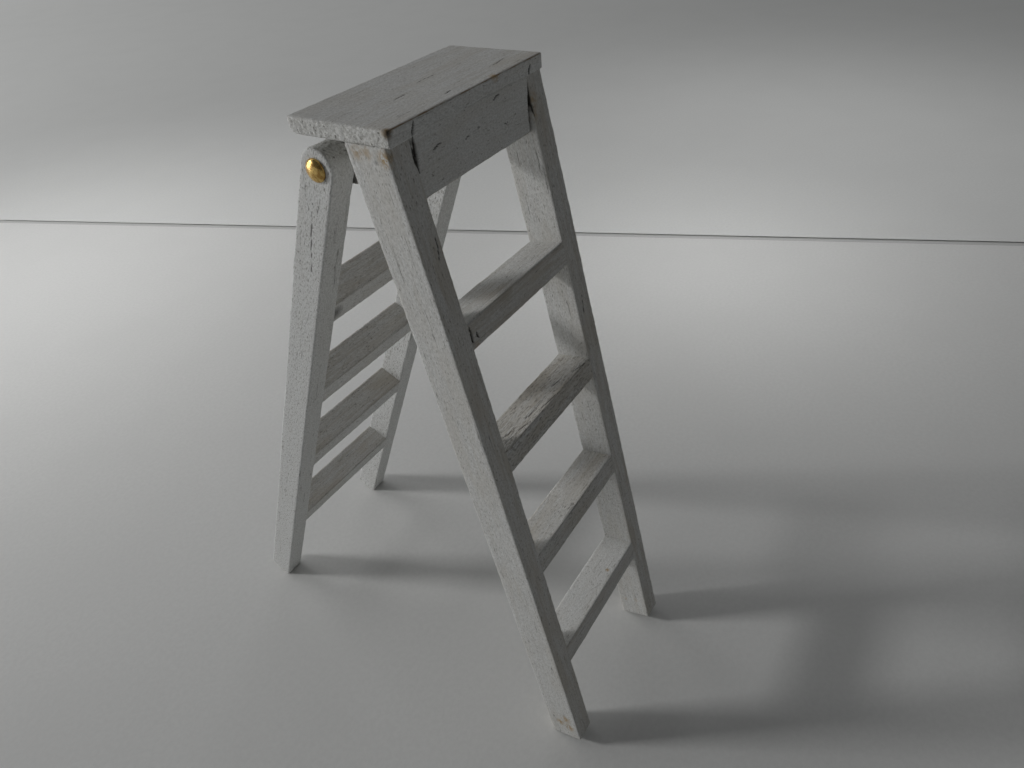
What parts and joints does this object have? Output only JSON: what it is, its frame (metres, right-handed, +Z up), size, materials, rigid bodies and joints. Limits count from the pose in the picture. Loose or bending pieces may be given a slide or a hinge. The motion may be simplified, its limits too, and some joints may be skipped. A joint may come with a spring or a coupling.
{
  "type": "miniature step ladder",
  "caption": "Dolls' house step ladder: leaning front stiles with steps and a top board, and a slatted rear frame that folds on two brass pins.",
  "frame": {"origin": "on the floor, at the centre of the base of the bounding box, midway between the front and rear feet", "axes": "+X towards the right of someone climbing the steps, +Y from the steps towards the rear legs, +Z up"},
  "size_m": [0.037, 0.0895, 0.12],
  "materials": {
    "painted_wood": "matt off-white paint on open-pored wood, thin on the edges",
    "brass": "polished"
  },
  "bodies": {
    "front_frame": {"top_board": "painted_wood", "front_apron": "painted_wood", "hinge_rail": "painted_wood", "front_stile_left": "painted_wood", "front_stile_right": "painted_wood", "step_1": "painted_wood", "step_2": "painted_wood", "step_3": "painted_wood", "step_4": "painted_wood", "pivot_pin_left": "brass", "pivot_pin_right": "brass"},
    "rear_frame": {"rear_leg_left": "painted_wood", "rear_leg_right": "painted_wood", "rear_slat_1": "painted_wood", "rear_slat_2": "painted_wood", "rear_slat_3": "painted_wood", "rear_slat_4": "painted_wood"}
  },
  "joints": [
    {"name": "rear_frame_fold", "type": "hinge", "parent": "front_frame", "child": "rear_frame", "pos_m": [0, -0.00835, 0.1133], "axis": [-1, 0, 0], "range_deg": [-97, 37.5]}
  ]
}
